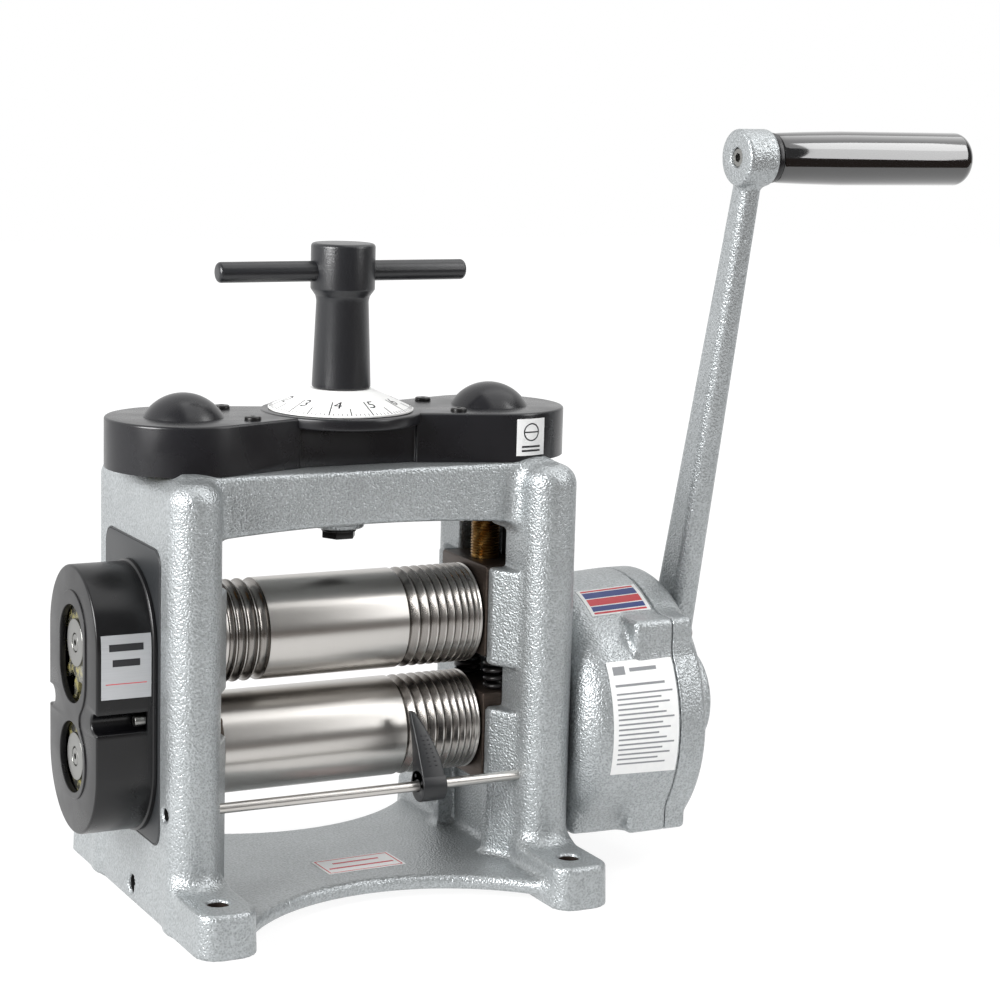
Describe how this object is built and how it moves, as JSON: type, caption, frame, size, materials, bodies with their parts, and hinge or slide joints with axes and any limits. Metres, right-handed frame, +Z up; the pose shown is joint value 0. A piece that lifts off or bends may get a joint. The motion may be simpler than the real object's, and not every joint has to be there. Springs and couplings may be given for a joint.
{
  "type": "jewellers rolling mill",
  "caption": "Bench rolling mill with two geared steel rolls in a cast frame, crank through a round gearbox, tee handle with dial over a two-lobed cover, and a sliding wire guide.",
  "frame": {"origin": "on the bench surface, at the faced rib under the base plate, midway between the two housings and straight under the roll axes", "axes": "+X along the rolls towards the gearbox and crank, -Y to the front where the operator stands, +Z up"},
  "size_m": [0.5421, 0.234, 0.4524],
  "materials": {
    "hammered_enamel": "hammered enamel on cast iron",
    "black_enamel": "satin",
    "black_moulding": "semi-gloss moulded",
    "ground_steel": "ground and polished",
    "machined_steel": "machined",
    "black_steel": "fine textured black",
    "bronze": "machined",
    "cast_iron": "machined and oiled",
    "dial_white": "satin printed",
    "grip_plastic": "polished"
  },
  "bodies": {
    "root": {"frame_casting": "hammered_enamel", "side_plate": "black_enamel", "gear_cover": "black_moulding", "gear_cover_screw_1": "machined_steel", "gear_cover_screw_2": "machined_steel", "top_cover": "black_moulding", "lower_left_block": "cast_iron", "lower_left_bush": "bronze", "lower_right_block": "cast_iron", "lower_right_bush": "bronze", "left_screw_nut": "bronze", "right_screw_nut": "bronze", "gearbox_body": "hammered_enamel", "gearbox_cover": "hammered_enamel", "crank_shaft_bush": "bronze", "ring_gear": "machined_steel", "left_front_spring": "black_steel", "left_back_spring": "black_steel", "right_front_spring": "black_steel", "right_back_spring": "black_steel"},
    "tee": {"tee_post": "black_steel", "tee_bar": "black_steel", "dial": "dial_white", "spindle": "machined_steel", "spindle_nut": "black_steel", "centre_pinion": "machined_steel"},
    "left_idler_gear": {"left_idler": "machined_steel"},
    "right_idler_gear": {"right_idler": "machined_steel"},
    "carriage": {"upper_left_block": "cast_iron", "upper_left_bush": "bronze", "upper_right_block": "cast_iron", "upper_right_bush": "bronze"},
    "left_screw": {"left_pressure_screw": "bronze", "left_screw_gear": "machined_steel"},
    "right_screw": {"right_pressure_screw": "bronze", "right_screw_gear": "machined_steel"},
    "upper_rolls": {"upper_roll": "ground_steel", "upper_roll_gear": "machined_steel", "upper_end_cap": "machined_steel", "upper_end_screw": "machined_steel"},
    "lower_rolls": {"lower_roll": "ground_steel", "lower_roll_gear": "machined_steel", "lower_end_cap": "machined_steel", "lower_end_screw": "machined_steel", "planet_carrier": "machined_steel"},
    "planet_1": {"planet_gear_1": "machined_steel"},
    "planet_2": {"planet_gear_2": "machined_steel"},
    "planet_3": {"planet_gear_3": "machined_steel"},
    "crank": {"crank_shaft": "machined_steel", "crank_arm": "hammered_enamel", "crank_screw": "black_steel", "handle_bolt": "machined_steel", "handle_collar": "black_moulding"},
    "crank_grip": {"grip": "grip_plastic"},
    "rod": {"guide_rod": "ground_steel"},
    "finger": {"wire_guide": "black_moulding"}
  },
  "joints": [
    {"name": "tee_turn", "type": "hinge", "parent": "root", "child": "tee", "pos_m": [0, 0, 0.3], "axis": [0, 0, 1], "range_deg": [-2165, 580]},
    {"name": "roll_gap", "type": "slide", "parent": "root", "child": "carriage", "axis": [0, 0, 1], "range_m": [-0.006, 0.0016], "deforming": ["left_front_spring", "left_back_spring", "right_front_spring", "right_back_spring"]},
    {"name": "left_screw_turn", "type": "hinge", "parent": "carriage", "child": "left_screw", "pos_m": [-0.0975, 0, 0.27], "axis": [0, 0, 1], "range_deg": [-1240, 335]},
    {"name": "right_screw_turn", "type": "hinge", "parent": "carriage", "child": "right_screw", "pos_m": [0.0975, 0, 0.27], "axis": [0, 0, 1], "range_deg": [-1240, 335]},
    {"name": "left_idler_turn", "type": "hinge", "parent": "root", "child": "left_idler_gear", "pos_m": [-0.04125, 0, 0.27], "axis": [0, 0, 1], "range_deg": [-545, 2035]},
    {"name": "right_idler_turn", "type": "hinge", "parent": "root", "child": "right_idler_gear", "pos_m": [0.04125, 0, 0.27], "axis": [0, 0, 1], "range_deg": [-545, 2035]},
    {"name": "crank_turn", "type": "hinge", "parent": "root", "child": "crank", "pos_m": [0.2, 0, 0.0906], "axis": [1, 0, 0], "continuous": true},
    {"name": "lower_roll_turn", "type": "hinge", "parent": "root", "child": "lower_rolls", "pos_m": [0, 0, 0.0906], "axis": [1, 0, 0], "continuous": true},
    {"name": "upper_roll_turn", "type": "hinge", "parent": "carriage", "child": "upper_rolls", "pos_m": [0, 0, 0.157], "axis": [1, 0, 0], "continuous": true},
    {"name": "planet_1_turn", "type": "hinge", "parent": "lower_rolls", "child": "planet_1", "pos_m": [0.17, 0.036, 0.0906], "axis": [1, 0, 0], "continuous": true},
    {"name": "planet_2_turn", "type": "hinge", "parent": "lower_rolls", "child": "planet_2", "pos_m": [0.17, -0.018, 0.12178], "axis": [1, 0, 0], "continuous": true},
    {"name": "planet_3_turn", "type": "hinge", "parent": "lower_rolls", "child": "planet_3", "pos_m": [0.17, -0.018, 0.05942], "axis": [1, 0, 0], "continuous": true},
    {"name": "grip_turn", "type": "hinge", "parent": "crank", "child": "crank_grip", "pos_m": [0.3, -0.08198, 0.4358], "axis": [1, 0, 0], "continuous": true},
    {"name": "rod_turn", "type": "hinge", "parent": "root", "child": "rod", "pos_m": [0, -0.0541, 0.067], "axis": [1, 0, 0], "range_deg": [-10, 75]},
    {"name": "guide_slide", "type": "slide", "parent": "rod", "child": "finger", "axis": [1, 0, 0], "range_m": [-0.1125, 0.0388]}
  ],
  "couplings": [
    {"joint": "tee_turn", "follows": "roll_gap", "rad_per_m": 6283.2},
    {"joint": "left_screw_turn", "follows": "roll_gap", "rad_per_m": 3590.4},
    {"joint": "right_screw_turn", "follows": "roll_gap", "rad_per_m": 3590.4},
    {"joint": "left_idler_turn", "follows": "roll_gap", "rad_per_m": -5913.6},
    {"joint": "right_idler_turn", "follows": "roll_gap", "rad_per_m": -5913.6},
    {"joint": "lower_roll_turn", "follows": "crank_turn", "ratio": 0.25},
    {"joint": "upper_roll_turn", "follows": "crank_turn", "ratio": -0.25},
    {"joint": "planet_1_turn", "follows": "crank_turn", "ratio": -0.75},
    {"joint": "planet_2_turn", "follows": "crank_turn", "ratio": -0.75},
    {"joint": "planet_3_turn", "follows": "crank_turn", "ratio": -0.75}
  ]
}
